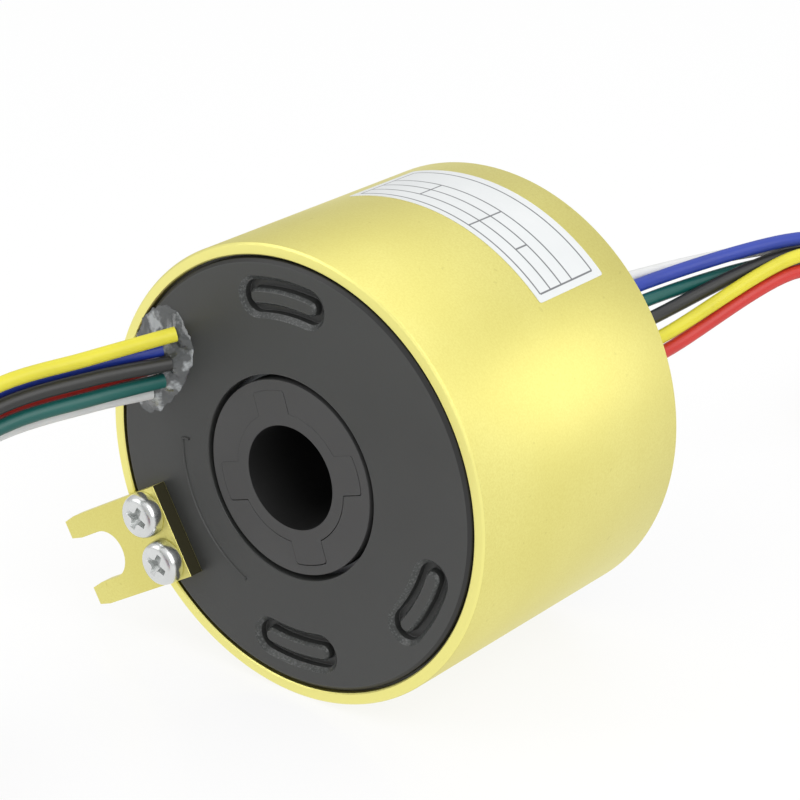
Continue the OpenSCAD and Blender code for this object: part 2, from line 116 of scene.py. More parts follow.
class Finish:
    """The nodes of one material, or of another owner, and the single method that adds a node."""

    def __init__(self, name, owner=None):
        self.owner = owner or bpy.data.materials.new(name)
        self.owner.use_nodes = True
        self.nodes, self.links = self.owner.node_tree.nodes, self.owner.node_tree.links
        self.nodes.clear()

    def add(self, kind, settings=None, values=(), out=0):
        node = self.nodes.new(kind)
        for key, value in (settings or {}).items():
            setattr(node, key, value)
        named = values.items() if isinstance(values, dict) else enumerate(values)
        for key, value in named:
            socket = node.inputs[key]
            if isinstance(value, Sig):
                self.links.new(value.socket, socket)
            else:
                socket.default_value = value
        return Sig(self, node.outputs[out])

    def maths(self, operation, *values):
        return self.add("ShaderNodeMath", {"operation": operation}, values)

    def ray(self, kind):
        """1 for rays of one kind, such as a camera ray, and 0 for the others."""
        return self.add("ShaderNodeLightPath", out=f"Is {kind} Ray")

    def place(self):
        return self.add("ShaderNodeTexCoord", out="Object")

    def axes(self, vector):
        split = self.add("ShaderNodeSeparateXYZ", {}, [vector])
        outputs = split.socket.node.outputs
        return [Sig(self, outputs[axis]) for axis in "XYZ"]

    def grain(self, vector, scale, detail=3.0, rough=0.5):
        return self.add("ShaderNodeTexNoise", {}, {
            "Vector": vector, "Scale": scale, "Detail": detail, "Roughness": rough})

    def band(self, value, low, high):
        """0 below low and 1 above high, with a smooth step between."""
        return self.add("ShaderNodeMapRange", {"interpolation_type": "SMOOTHSTEP"}, {
            "Value": value, "From Min": low, "From Max": high})

    def blend(self, factor, first, second):
        return self.add("ShaderNodeMix", {"data_type": "RGBA"}, {0: factor, 6: first, 7: second}, out=2)

    def bump(self, height, strength, distance, under=None):
        values = {"Height": height, "Strength": strength, "Distance": distance}
        if under is not None:
            values["Normal"] = under
        return self.add("ShaderNodeBump", {}, values)

    def done(self, **inputs):
        values = {name.replace("_", " "): value for name, value in inputs.items()}
        return self.output(self.add("ShaderNodeBsdfPrincipled", {}, values))

    def output(self, shader, kind="Material"):
        node = self.nodes.new("ShaderNodeOutput" + kind)
        self.links.new(shader.socket, node.inputs["Surface"])
        return self.owner


def rgb(*seen):
    """A colour as it is seen, 0 to 255, in the linear values that shaders use."""
    return tuple(v / 12.92 if v <= 0.04045 else ((v + 0.055) / 1.055) ** 2.4
                 for v in [value / 255 for value in seen]) + (1,)


def shaded(colour, factor):
    """The same colour, lighter or darker."""
    return tuple(min(1, c * factor) for c in colour[:3]) + (1,)


# %% [markdown]
# ## Floor, world and lamps
# Light Path tells a camera or glossy ray from a light ray. The product sees a soft grey-white room,
# while the camera sees white behind it.

# %% Floor
FLOOR_Z, FLOOR_HALF = -0.028, 3
FLOOR_GLOW = 0.84


def floor_finish():
    f = Finish("white_table")
    seen = f.ray("Camera").call("MAXIMUM", f.ray("Glossy"))
    sheet = f.add("ShaderNodeBsdfPrincipled", {}, {
        "Base Color": rgb(240, 240, 240), "Roughness": 0.22, "Specular IOR Level": 0.5})
    glow = f.add("ShaderNodeEmission", {}, {"Color": (1, 1, 1, 1), "Strength": 1.0})
    return f.output(f.add("ShaderNodeMixShader", {}, [seen * FLOOR_GLOW, sheet, glow]))


floor_mesh = bpy.data.meshes.new("table_top")
floor_corners = [(FLOOR_HALF * a, FLOOR_HALF * b, FLOOR_Z) for a, b in ((-1, -1), (1, -1), (1, 1), (-1, 1))]
floor_mesh.from_pydata(floor_corners, [], [(0, 1, 2, 3)])
floor_mesh.materials.append(floor_finish())
table_top = linked("table_top", floor_mesh)

# %% World
ROOM_LOW, ROOM_HIGH = 0.56, 0.95


def room():
    f = Finish("studio", bpy.data.worlds.new("studio"))
    bpy.context.scene.world = f.owner
    up = f.axes(f.add("ShaderNodeTexCoord", out="Generated"))[2]
    level = ROOM_LOW + f.band(up, -0.1, 0.9) * (ROOM_HIGH - ROOM_LOW)
    strength = level + f.ray("Camera") * (1 - level)
    f.output(f.add("ShaderNodeBackground", {}, {"Color": (1, 1, 1, 1), "Strength": strength}), "World")


room()

# %% Lamps


MIDDLE = Vector((0, 0.02, 0))


def lamp(name, place, size, power):
    """A softbox of a size in metres and a power in watts, aimed at the product's middle."""
    light = bpy.data.lights.new(name, "AREA")
    light.shape = "RECTANGLE"
    light.size, light.size_y = size
    light.energy = power
    thing = linked(name, light)
    thing.location = place
    thing.rotation_euler = (MIDDLE - Vector(place)).to_track_quat("-Z", "Y").to_euler()
    thing.visible_camera = False


lamp("softbox_right", (0.75, -0.25, 0.55), (0.7, 0.9), 4.6)
lamp("softbox_left", (-0.6, -0.7, 0.5), (0.5, 0.8), 2.2)
lamp("softbox_top", (0, 0.3, 0.9), (0.9, 0.7), 1.1)
lamp("softbox_back", (0.66, 0.74, 0.2), (0.5, 0.6), 1.45)

# %% [markdown]
# ## Building a closed shape from rings
# Most pieces here are turned or moulded, so their surface is a stack of matching outlines. `Solid`
# keeps the outlines as rings of points, joins neighbours with quads and fills flat faces, holes
# included. Points are in millimetres, which is how a drawing of the part would give them.

# %% The Solid helper


class Solid:
    def __init__(self):
        self.bm = bmesh.new()

    def ring(self, points):
        return [self.bm.verts.new(Vector(point) * MM) for point in points]

    def join(self, first, second, slot=0):
        for i in range(len(first)):
            j = (i + 1) % len(first)
            face = self.bm.faces.new((first[i], first[j], second[j], second[i]))
            face.material_index = slot

    def stack(self, rings, slot=0):
        for first, second in zip(rings, rings[1:]):
            self.join(first, second, slot)

    def fill(self, *rings, slot=0):
        edges = []
        for ring in rings:
            for a, b in zip(ring, ring[1:] + ring[:1]):
                edges.append(self.bm.edges.get((a, b)) or self.bm.edges.new((a, b)))
        made = bmesh.ops.triangle_fill(self.bm, edges=edges, use_beauty=True)
        for face in made["geom"]:
            if isinstance(face, bmesh.types.BMFace):
                face.material_index = slot

    def close(self, ring, slot=0):
        self.bm.faces.new(ring).material_index = slot

    def capped(self, rings, slot=0, flat=False):
        """A stack of rings with both ends closed; flat ends are cut into triangles."""
        self.stack(rings, slot)
        for ring in (rings[0], rings[-1]):
            if flat:
                self.fill(ring, slot=slot)
            else:
                self.close(ring, slot)

    def paint(self, rings, slot):
        """Give the walls between neighbouring rings another material slot."""
        for first, second in zip(rings, rings[1:]):
            for a, b in zip(first, second):
                for face in self.bm.edges.get((a, b)).link_faces:
                    if all(v in first or v in second for v in face.verts):
                        face.material_index = slot

    def piece(self, name, *materials, sharp=32):
        bmesh.ops.recalc_face_normals(self.bm, faces=self.bm.faces)
        mesh = bpy.data.meshes.new(name)
        self.bm.to_mesh(mesh)
        self.bm.free()
        for material in materials:
            mesh.materials.append(material)
        return shown(name, mesh, sharp)


def shown(name, mesh, sharp=32):
    mesh.shade_smooth()
    if sharp:
        mesh.set_sharp_from_angle(angle=math.radians(sharp))
    print(name, len(mesh.polygons), "faces")
    return linked(name, mesh)


def settle(piece, body, slot, *nodes):
    """A finished piece rides on its body and stands for the CAD nodes it was built over."""
    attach(piece, body)
    if nodes:
        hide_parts(*nodes)
    return piece


# %% [markdown]
# ## Outlines in the plane of the face
# The bore runs along Y, so an outline is a list of (x, z) points, seen from the front. `at` lifts it to
# a place along the bore.

# %% Outline helpers
ROUND = 160
BEAN_STEPS, CAP_STEPS = 36, 14


def at(outline, y):
    return [(x, y, z) for x, z in outline]


def polar(radius, angle, centre=(0, 0)):
    turn = math.radians(angle)
    return (centre[0] + radius * math.cos(turn), centre[1] + radius * math.sin(turn))


def rotated(outline, angle):
    c, s = polar(1, angle)
    return [(x * c - z * s, x * s + z * c) for x, z in outline]


def arc(radius, start, end, count, centre=(0, 0)):
    return [polar(radius, start + (end - start) * i / count, centre) for i in range(count + 1)]


def circle(radius, count=ROUND, centre=(0, 0)):
    return arc(radius, 0, 360, count, centre)[:-1]


def bean(radius, middle, half, width):
    """A curved slot: the middle line is an arc, and width is half its width."""
    low, high = middle - half, middle + half
    outside = arc(radius + width, low, high, BEAN_STEPS)[1:-1]
    inside = arc(radius - width, high, low, BEAN_STEPS)[1:-1]
    last = arc(width, high, high + 180, CAP_STEPS, polar(radius, high))
    first = arc(width, low + 180, low + 360, CAP_STEPS, polar(radius, low))
    return outside + last + inside + first


def spline(points, t):
    """A point between the middle two of four points, on a smooth curve through them all."""
    a, b, c, d = points
    return 0.5 * (2 * b + (c - a) * t + (2 * a - 5 * b + 4 * c - d) * t * t + (3 * b - a - 3 * c + d) * t ** 3)


def turned(solid, profile, count=ROUND):
    """Rings for a lathe profile of (radius, y) points."""
    rings = [solid.ring(at(circle(radius, count), y)) for radius, y in profile]
    solid.stack(rings)
    return rings


def turned_ring(profile, count=ROUND):
    """A solid whose lathe profile is closed."""
    solid = Solid()
    rings = turned(solid, profile, count)
    solid.join(rings[-1], rings[0])
    return solid


# %% [markdown]
# ## Finishes
# The sleeve and the tab are bead blasted and then anodised gold: the blasting leaves a grain of about
# a tenth of a millimetre, which scatters reflections into a satin sheen. The grain is a bump, and a
# slow noise moves the roughness a little, as handling and dye do on a real part.

# %% Gold anodised aluminium


def gold(name, turned_face=False):
    f = Finish(name)
    place = f.place()
    fine = f.grain(place, 9000, 2)
    slow = f.grain(place, 60, 3)
    x, y, z = f.axes(place)
    colour = f.blend(f.band(slow, 0.3, 0.7), rgb(227, 219, 132), rgb(232, 225, 141))
    grit = f.grain(place, 4200, 2)
    colour = f.blend(f.band(grit, 0.25, 0.75) * 0.4, colour, rgb(216, 204, 112))
    speck = f.band(f.grain(place, 900, 1), 0.74, 0.78)
    colour = f.blend(speck * 0.14, colour, rgb(170, 155, 70))
    rough = 0.42 + slow * 0.06
    normal = f.bump(fine, 0.25, 0.00005)
    if turned_face:
        colour = f.blend(slow, rgb(240, 233, 140), rgb(245, 238, 150))
        radius = (x * x + z * z).call("SQRT")
        marks = f.add("ShaderNodeTexNoise", {"noise_dimensions": "1D"}, {
            "W": radius * 1000, "Scale": 14.0, "Detail": 4.0})
        normal = f.bump(marks, 0.12, 0.00004, normal)
        rough = 0.36 + slow * 0.08
    return f.done(Base_Color=colour, Metallic=1.0, Roughness=rough, Normal=normal)


gold_skin = gold("gold_anodised")
gold_rim = gold("gold_turned_rim", True)

# %% [markdown]
# The cover and the turning half are moulded in glass-filled nylon. It is a dark grey rather than
# black, and its fine grain takes the shine off. `skin` makes this and the other plain finishes.

# %% Dark moulding


def skin(name, colours, slow, fine, bump, rough, **more):
    """A slow noise moves the colour and the roughness between two values; a fine grain is a bump."""
    f = Finish(name)
    drift = f.grain(f.place(), *slow)
    normal = f.bump(f.grain(f.place(), *fine), *bump)
    roughness = rough[0] + drift * rough[1]
    return f.done(Base_Color=f.blend(drift, *colours), Roughness=roughness, Normal=normal, **more)


def moulding(name, shade, rough):
    return skin(name, (shade, shaded(shade, 1.22)), (130, 4), (4200, 3), (0.22, 0.00005), (rough - 0.06, 0.12))


cover_plastic = moulding("grey_moulding", rgb(52, 53, 52), 0.46)
rotor_plastic = moulding("rotor_moulding", rgb(58, 58, 58), 0.5)
# Black moulding for the barriers, brush blocks and spacers; on the cover's outer bevel it is painted shade.
black_plastic_and_gap_shade = moulding("black_moulding", rgb(24, 24, 24), 0.42)
# The bore wall is near-black: painted shade for the deep, unlit bore.
bore_painted_shade = moulding("bore_wall", rgb(9, 9, 9), 0.6)


# %% Metals and small finishes


def metal(name, colour, rough):
    return skin(name, (colour, shaded(colour, 0.88)), (400, 4), (2500, 2), (0.05, 0.00003), (rough, 0.1),
                Metallic=1.0)


plated_steel = metal("plated_steel", rgb(222, 224, 223), 0.2)
black_steel = metal("black_steel", rgb(52, 52, 52), 0.35)
race_steel = metal("bearing_steel", rgb(92, 94, 96), 0.3)
gold_plate = metal("gold_contact", rgb(226, 190, 110), 0.14)
tinned = metal("tinned_copper", rgb(190, 186, 176), 0.28)


def plain_plastic(name, colour, rough):
    return skin(name, (colour, shaded(colour, 0.9)), (300, 3), (2600, 2), (0.08, 0.00004), (rough, 0.1))


cage_nylon = plain_plastic("cage_nylon", rgb(196, 170, 126), 0.45)
tie_nylon = plain_plastic("cable_tie", rgb(232, 231, 226), 0.35)
board_green = plain_plastic("circuit_board", rgb(38, 96, 58), 0.3)

# %% [markdown]
# Lead insulation is extruded PVC: a smooth skin with a soft gloss. A slow noise along the lead
# keeps it from looking like a single flat colour.

# %% Lead insulation
LEAD_COLOURS = {
    "yellow": rgb(214, 205, 48),
    "blue": rgb(34, 58, 158),
    "black": rgb(42, 42, 41),
    "red": rgb(196, 48, 42),
    "green": rgb(14, 88, 82),
    "white": rgb(214, 215, 214),
}


def insulation(name, colour):
    return skin(name, (shaded(colour, 0.86), shaded(colour, 1.12)), (220, 3), (1500, 2), (0.1, 0.00005),
                (0.36, 0.1))


lead_finish = {name: insulation("wire_" + name, colour) for name, colour in LEAD_COLOURS.items()}

# %% [markdown]
# ## The leads
# Each half has six leads, a quarter of a metre long. The stretch near the product hangs in a free curve,
# and the rest is wound as one neat coil with a tie, so that the part can stand on a shelf.
# The six leads travel as one bundle, two wide and three high. The bundle's middle line passes through a
# few listed points, lands on the coil's upper layer, winds inwards, drops to the lower layer and winds
# out again. Each lead is a swept tube at its own place in the bundle, square to that line.

# %% Routes of the leads, in millimetres
LEAD_R, LEAD_LENGTH, STRIPPED = 0.9, 250, 6
SIDE_STEP, ROW_STEP = 0.96, 1.82
REAR_WIRE_R, REAR_POT_Y = 10, 45.4

# Each lead's exit, its (side, up) place in the bundle in the air, and its (side, row) in the coil.
front_leads = {
    "yellow": ((-15.9, -1.4, 14.3), (1, 2.6), (1, 1)),
    "blue": ((-18.2, -1.4, 11.9), (-1, 0.9), (-1, 1)),
    "black": ((-16.9, -1.4, 10.4), (1, 0), (1, 0)),
    "red": ((-19.6, -1.4, 9.3), (-1, -1.5), (-1, 0)),
    "green": ((-18.2, -1.4, 7.9), (1, -2.42), (1, -1)),
    "white": ((-20.3, -1.4, 5.9), (-1, -4.1), (-1, -1)),
}
# The exit is an angle about the bore here, and a second point leads into the bundle.
rear_leads = {
    "red": (-4, (11.7, 60, 0.1), (1, -2.3), (1, -1)),
    "yellow": (8, (11.4, 60, 2.2), (1, 0), (1, 0)),
    "black": (20, (9.8, 60, 4.3), (-1.1, -0.4), (-1, 0)),
    "green": (32, (8.2, 60, 6.1), (-3, -2), (-1, -1)),
    "blue": (44, (7.2, 60, 8), (-1, 1.7), (1, 1)),
    "white": (56, (5.1, 60, 8.3), (-3, 0.1), (-1, 1)),
}
FRONT_COIL, FRONT_TURN_R = (-21.9, -47.2), 12.6
REAR_COIL, REAR_TURN_R = (17.4, 117.4), 11.8
# A bundle's points in the air, its points on the way down, its coil and the hand of its side axis.
front_bundle = (
    [(-22.2, -9.5, 10), (-26.9, -19.5, 8.6)],
    [(-30.4, -28.4, 4.4), (-32.6, -34.6, -3), (-33.8, -38.8, -10.5), (-34.3, -43, -16.6), (-34.5, -47.2, -19.2)],
    FRONT_COIL, FRONT_TURN_R, -1)
rear_bundle = (
    [(18.4, 79, 9.4), (23.6, 90, 6)],
    [(26.6, 97.5, 0), (28, 103, -7), (28.8, 108, -13.4), (29.2, 112.8, -18), (29.2, 117.4, -19.2)],
    REAR_COIL, REAR_TURN_R, 1)

# %% Bundle geometry
COIL_IN_R, COIL_STEP, DROP_TURN = 5.2, 12, 170
COIL_TOP, COIL_FLOOR = -19.2, -24.9
PITCH = 4 * SIDE_STEP
FULL_TURN = 2 * math.pi


def tangent(line, i):
    before, after = Vector(line[max(i - 1, 0)]), Vector(line[min(i + 1, len(line) - 1)])
    return (after - before).normalized()


def bundle_route(line, in_air, landed, hand, place_air, place_coil):
    """One lead's points: its place in the bundle, (side, up), changes between the exit and the coil."""
    points = []
    for i, point in enumerate(line):
        share = min(1, max(0, (i - in_air + 1) / (landed - in_air)))
        along = tangent(line, i)
        side = hand * Vector((along.y, -along.x, 0)).normalized()
        up = hand * side.cross(along)
        a, b = (air + share * (coil - air) for air, coil in zip(place_air, place_coil))
        points.append(Vector(point) + a * SIDE_STEP * side + b * up)
    return points


def coil_line(centre, start, turn_r):
    """The bundle's middle line in a coil of two layers: inwards on top, down, and outwards below."""
    begin = math.atan2(start[1] - centre[1], start[0] - centre[0])
    drop, step = math.radians(DROP_TURN), math.radians(COIL_STEP)
    wide = (turn_r - COIL_IN_R - PITCH) / PITCH * FULL_TURN
    last = FULL_TURN - drop
    whole = 2 * (wide + last) + drop
    points = []
    for k in range(1, int(whole / step) + 1):
        turn = k * step
        near = min(turn, whole - turn)
        if near < wide:
            r = turn_r - PITCH * near / FULL_TURN
        else:
            r = COIL_IN_R + PITCH * max(0, 1 - (near - wide) / last)
        share = min(1, max(0, (turn - wide - last) / drop))
        height = COIL_TOP + (COIL_FLOOR - COIL_TOP) * share * share * (3 - 2 * share)
        points.append((*polar(r, math.degrees(begin + turn), centre), height))
    return points


def smooth_line(points, step):
    """A smooth curve through the points, sampled every step millimetres."""
    padded = [2 * points[0] - points[1]] + points + [2 * points[-1] - points[-2]]
    fine = []
    for near in zip(padded, padded[1:], padded[2:], padded[3:]):
        count = max(4, int((near[2] - near[1]).length / 0.25))
        fine += [spline(near, i / count) for i in range(count)]
    fine.append(points[-1])
    line, travelled = [fine[0]], 0
    for first, second in zip(fine, fine[1:]):
        travelled += (second - first).length
        if travelled >= step:
            line.append(second)
            travelled = 0
    return line


def measured(line):
    return sum((b - a).length for a, b in zip(line, line[1:]))


# %% Sweep a tube along a line
LINE_STEP = 1.3


def swept(solid, line, radius, sides):
    """Rings square to the line, carried along without twist."""
    across = tangent(line, 0).cross(Vector((0, 0, 1))).normalized()
    rings = []
    for i, point in enumerate(line):
        along = tangent(line, i)
        across = (across - along * across.dot(along)).normalized()
        other = along.cross(across)
        rings.append(solid.ring([point + a * across + b * other for a, b in circle(radius, sides)]))
    return rings


def lead(name, points, colour):
    """One lead with its last few millimetres stripped to the tinned strands."""
    line = smooth_line(points, LINE_STEP)
    split = len(line) - 1
    while measured(line[split:]) < STRIPPED:
        split -= 1
    solid = Solid()
    solid.capped(swept(solid, line[:split + 1], LEAD_R, 14))
    solid.capped(swept(solid, line[split:], LEAD_R * 0.55, 10), 1)
    return solid.piece(name, lead_finish[colour], tinned, sharp=40), line


COIL_NODES = {"stator_wire_yellow": ["stator_coil"], "rotor_wire_red": ["rotor_coil"]}


def bundled_lead(end, body, colour, exits, route, place_air, place_coil):
    """A lead's route through its exit points, through the air, down, and round the coil."""
    air, down, coil, turn_r, hand = route
    middle = air + down + coil_line(coil, down[-1], turn_r)
    place_coil = (place_coil[0], place_coil[1] * ROW_STEP)
    points = [Vector(point) for point in exits]
    points += bundle_route(middle, len(air), len(air) + len(down) - 1, hand, place_air, place_coil)
    piece, line = lead("lead_" + end + "_" + colour, points, colour)
    node = body + "_wire_" + colour
    settle(piece, body, "wire_" + colour, node, *COIL_NODES.get(node, []))
    path = [tuple(point * MM) for point in line]


for colour, (leaves, in_air, in_coil) in front_leads.items():
    bundled_lead("front", "stator", colour, [leaves], front_bundle, in_air, in_coil)

for colour, (angle, near, in_air, in_coil) in rear_leads.items():
    x, z = polar(REAR_WIRE_R, angle)
    bundled_lead("rear", "rotor", colour, [(x, REAR_POT_Y, z), near], rear_bundle, in_air, in_coil)

# %% [markdown]
# ## Sleeve
# The sleeve is one turned tube. Its two rims are cut flat on a lathe and keep fine circular marks, and
# a small chamfer on each edge catches the light as a bright line.

# %% Sleeve
SLEEVE_R, SLEEVE_LEN = 28, 38
SEAT_R, INNER_R, SEAT_DEPTH = 26.5, 25.9, 3
RIM_DEPTH = 0.2


def both_ends(profile):
    """A profile at the front end, followed by its mirror image at the rear."""
    return profile + [(r, SLEEVE_LEN - y) for r, y in reversed(profile)]


corner = [(27.62, 0), (27.72, 0.03), (27.93, 0.22), (SLEEVE_R, 0.4)]
seat = [(SEAT_R + 0.15, 0), (SEAT_R, 0.15), (SEAT_R, SEAT_DEPTH), (INNER_R, SEAT_DEPTH)]
sleeve = turned_ring(both_ends(corner) + both_ends(seat)[::-1], 256)
for face in sleeve.bm.faces:
    y = face.calc_center_median().y / MM
    face.material_index = int(y < RIM_DEPTH or y > SLEEVE_LEN - RIM_DEPTH)
settle(sleeve.piece("sleeve", gold_skin, gold_rim, sharp=25), "stator", "gold_anodised", "housing_sleeve")

# %% [markdown]
# ## Front cover
# The cover is a moulded disc with a bevelled edge. Three curved pockets save material where the wall
# would be thick: each has a bevelled mouth and an island that stands almost level with the face. One
# more slot of the same shape goes right through, and the fixed leads leave there.

# %% Bevel finish
# The pockets' bevels carry light flecks, a painted speckled highlight, and a smoother finish than the face.


def paint_bevel_highlight():
    f = Finish("bevel_moulding")
    place = f.place()
    # The light flecks are a painted highlight.
    highlight_fleck = f.band(f.grain(place, 3800, 2, 0.7), 0.46, 0.68)
    colour = f.blend(highlight_fleck, rgb(50, 52, 51), rgb(84, 86, 85))
    normal = f.bump(f.grain(place, 3000, 2), 0.3, 0.0001)
    return f.done(Base_Color=colour, Roughness=0.3, Normal=normal)


bevel_painted_highlight = paint_bevel_highlight()

# %% Front cover
FACE_Y = -0.1
COVER_BACK = 3.0
COVER_R, BEVEL_R, HOLE_R = 26.48, 26.2, 12.5
SEAL_R, BOSS_R = 13.02, 16
POCKET_R = 21.65
POCKET_HALF = 10.3
POCKET_ANGLES = (92, -28, -88.5)
OUTLET_ANGLE = 153
TAB_ANGLE = -150
TAB_SIDE = 1.06
SCREW_U, SCREW_GAP = 23.2, 6.1


def tab_point(u, v):
    """From the tab's own axes, outwards and across, to (x, z)."""
    return rotated([(u, v + TAB_SIDE)], TAB_ANGLE)[0]


def screw_holes(solid, radius, front, rear):
    """The two screw holes through a solid: their rings at the front and at the rear."""
    holes = []
    for side in (-1, 1):
        centre = tab_point(SCREW_U, side * SCREW_GAP / 2)
        holes.append([solid.ring(at(circle(radius, 32, centre), y)) for y in (front, rear)])
        solid.stack(holes[-1])
    return zip(*holes)


def add_pocket(solid, angle):
    """A pocket with its island; returns the ring in the plane of the face."""
    walls = [(2.5, 0), (2.44, 0.05), (2.02, 0.5), (1.94, 0.56), (1.9, 1.36), (1.84, 1.4)]
    island = [(1.06, 1.4), (1.0, 1.36), (0.97, 0.46), (0.92, 0.38), (0.66, 0.1), (0.6, 0.07)]
    rings = [solid.ring(at(bean(POCKET_R, angle, POCKET_HALF, width), FACE_Y + depth))
             for width, depth in walls + island]
    solid.stack(rings)
    # The bevelled mouth and the island's rim take the painted highlight.
    solid.paint(rings[:4], 1)
    solid.paint(rings[8:], 1)
    solid.fill(rings[-1])
    return rings[0]


cover = Solid()
outer = turned(cover, [(25.6, FACE_Y), (25.72, FACE_Y + 0.03), (26.1, 0.2), (BEVEL_R, 0.35), (BEVEL_R, 0.9),
                       (COVER_R, 0.9), (COVER_R, COVER_BACK)])
# The outer bevel ring takes the black finish: painted shade for the dark line between cover and rim.
cover.paint(outer[1:5], 2)
inner = turned(cover, [(HOLE_R + 0.12, FACE_Y), (HOLE_R + 0.04, FACE_Y + 0.03), (HOLE_R, FACE_Y + 0.12),
                       (HOLE_R, 2.2), (SEAL_R, 2.2), (SEAL_R, 7.2), (BOSS_R, 7.2), (BOSS_R, COVER_BACK)])
mouths = [add_pocket(cover, angle) for angle in POCKET_ANGLES]
outlet = [cover.ring(at(bean(POCKET_R, OUTLET_ANGLE, POCKET_HALF, 2.4), y)) for y in (FACE_Y, COVER_BACK)]
cover.stack(outlet)
front_holes, rear_holes = screw_holes(cover, 1.55, FACE_Y, COVER_BACK)
cover.fill(outer[0], inner[0], outlet[0], *mouths, *front_holes)
cover.fill(outer[-1], inner[-1], outlet[1], *rear_holes)
cover_piece = cover.piece("cover_front", cover_plastic, bevel_painted_highlight, black_plastic_and_gap_shade, sharp=14)
settle(cover_piece, "stator", "grey_moulding", "front_cover")

# %% Raised arc on the cover
RIB_R, RIB_WIDTH, RIB_HEIGHT = 16.6, 0.17, 0.16
RIB_ARC = (178, 245)


def rib_outline(width):
    path = [(-15.55, 0.72), (-16.2, 0.72)] + arc(RIB_R, *RIB_ARC, 60)
    left, right = [], []
    for i, (x, z) in enumerate(path):
        ax, az = path[max(i - 1, 0)]
        bx, bz = path[min(i + 1, len(path) - 1)]
        size = math.hypot(bx - ax, bz - az)
        nx, nz = -(bz - az) / size, (bx - ax) / size
        left.append((x + nx * width, z + nz * width))
        right.append((x - nx * width, z - nz * width))
    return left + list(reversed(right))


rib = Solid()
rib_rings = [rib.ring(at(rib_outline(w), y)) for w, y in (
    (RIB_WIDTH, FACE_Y + 0.2), (RIB_WIDTH, FACE_Y - 0.04), (RIB_WIDTH * 0.5, FACE_Y - RIB_HEIGHT))]
rib.capped(rib_rings, flat=True)
settle(rib.piece("cover_rib", cover_plastic), "stator", "grey_moulding")

# %% Rear cover
back = turned_ring([
    (HOLE_R + 0.12, 38.1), (HOLE_R, 37.98), (HOLE_R, 35.8), (SEAL_R, 35.8), (SEAL_R, 30.8), (BOSS_R, 30.8),
    (BOSS_R, 35), (COVER_R, 35), (COVER_R, 37.1), (BEVEL_R, 37.1), (BEVEL_R, 37.7), (26.1, 37.84), (25.6, 38.1)])
settle(back.piece("cover_rear", cover_plastic), "stator", "grey_moulding", "rear_cover")

# %% [markdown]
# ## Turning half
# The rotor tube ends in four square lugs that lock into the end ring. The ring sits a hair off centre
# in its play, which is why the joint line shows as a dark hairline on one side and vanishes on the other.

# %% Lug outline
LUG_ANGLE = 17.6


def lug_outline(radius, tip, half_width, corner):
    """A round with four square lugs, corners rounded."""
    foot = math.degrees(math.asin(half_width / radius))
    rim = math.sqrt((tip - corner) ** 2 - (half_width - corner) ** 2)
    slope = math.degrees(math.atan2(half_width - corner, rim))
    quarter = [polar(radius, -foot)]
    quarter += arc(corner, -90, -slope, 6, (rim, -half_width + corner))
    quarter += arc(tip, -slope + 1.5, slope - 1.5, 10)
    quarter += arc(corner, slope, 90, 6, (rim, half_width - corner))
    quarter += [polar(radius, foot)] + arc(radius, foot + 2, 90 - foot - 2, 16)
    return [point for k in range(4) for point in rotated(quarter, LUG_ANGLE + 90 * k)]


# %% Rotor tube
BORE_R, TUBE_R, TUBE_END = 6.35, 8.5, 45
tube = Solid()
lugs = [tube.ring(at(lug_outline(*sizes), y)) for sizes, y in (
    ((7.91, 10.56, 2.31, 0.36), 0), ((7.95, 10.6, 2.35, 0.4), 0.04), ((7.95, 10.6, 2.35, 0.4), 2.2))]
tube.stack(lugs)
bore = turned(tube, [
    (BORE_R + 0.07, 0), (BORE_R + 0.01, 0.05), (BORE_R, 0.1), (BORE_R, TUBE_END - 0.1), (BORE_R + 0.1, TUBE_END),
    (TUBE_R - 0.1, TUBE_END), (TUBE_R, TUBE_END - 0.1), (TUBE_R, 2.2)])
# The faces inside the bore take the near-black painted shade.
for face in tube.bm.faces:
    middle = face.calc_center_median() / MM
    if math.hypot(middle.x, middle.z) < BORE_R + 0.01 and middle.y > 0.2:
        face.material_index = 1
tube.fill(lugs[0], bore[0])
tube.fill(lugs[-1], bore[-1])
settle(tube.piece("rotor_tube", rotor_plastic, bore_painted_shade, sharp=24), "rotor", "grey_moulding", "rotor_shaft")

# %% End ring
RING_SHIFT = (0.05, -0.03)
end_ring = Solid()


def ring_hole(grow):
    outline = lug_outline(7.99 + grow, 10.645 + grow, 2.39 + grow, 0.4)
    return [(x + RING_SHIFT[0], z + RING_SHIFT[1]) for x, z in outline]


keys = [end_ring.ring(at(ring_hole(grow), y)) for grow, y in ((0.02, 0), (0, 0.02), (0, 2.15))]
end_ring.stack(keys)
rim = turned(end_ring, [(11.74, 0), (11.82, 0.03), (11.85, 0.1), (11.85, 1.9), (11.0, 1.9), (11.0, 2.15)])
end_ring.fill(keys[0], rim[0])
end_ring.fill(keys[-1], rim[-1])
settle(end_ring.piece("rotor_end_ring", rotor_plastic), "rotor", "grey_moulding", "front_end_ring")

# %% [markdown]
# ## Rear collar
# The collar clamps the tube to a shaft with three set screws, and the turning leads leave through a
# curved slot in its rear face, sealed with potting.

# %% Collar
COLLAR_IN_R = 8.52
LEAD_SLOT = (26, 34.2)
collar = Solid()
shell = turned(collar, [
    (COLLAR_IN_R, TUBE_END), (COLLAR_IN_R, 35.8), (9.6, 35.8), (9.6, 38.4), (11.9, 38.4), (12, 38.5), (12, 44.5),
    (11.85, 44.75), (11.6, TUBE_END)])
slot_rings = [collar.ring(at(bean(REAR_WIRE_R, *LEAD_SLOT, 1.0), y)) for y in (TUBE_END, 43)]
collar.stack(slot_rings)
collar.fill(slot_rings[-1])
collar.fill(shell[0], shell[-1], slot_rings[0])
collar_blank = collar.piece("rotor_collar", rotor_plastic)
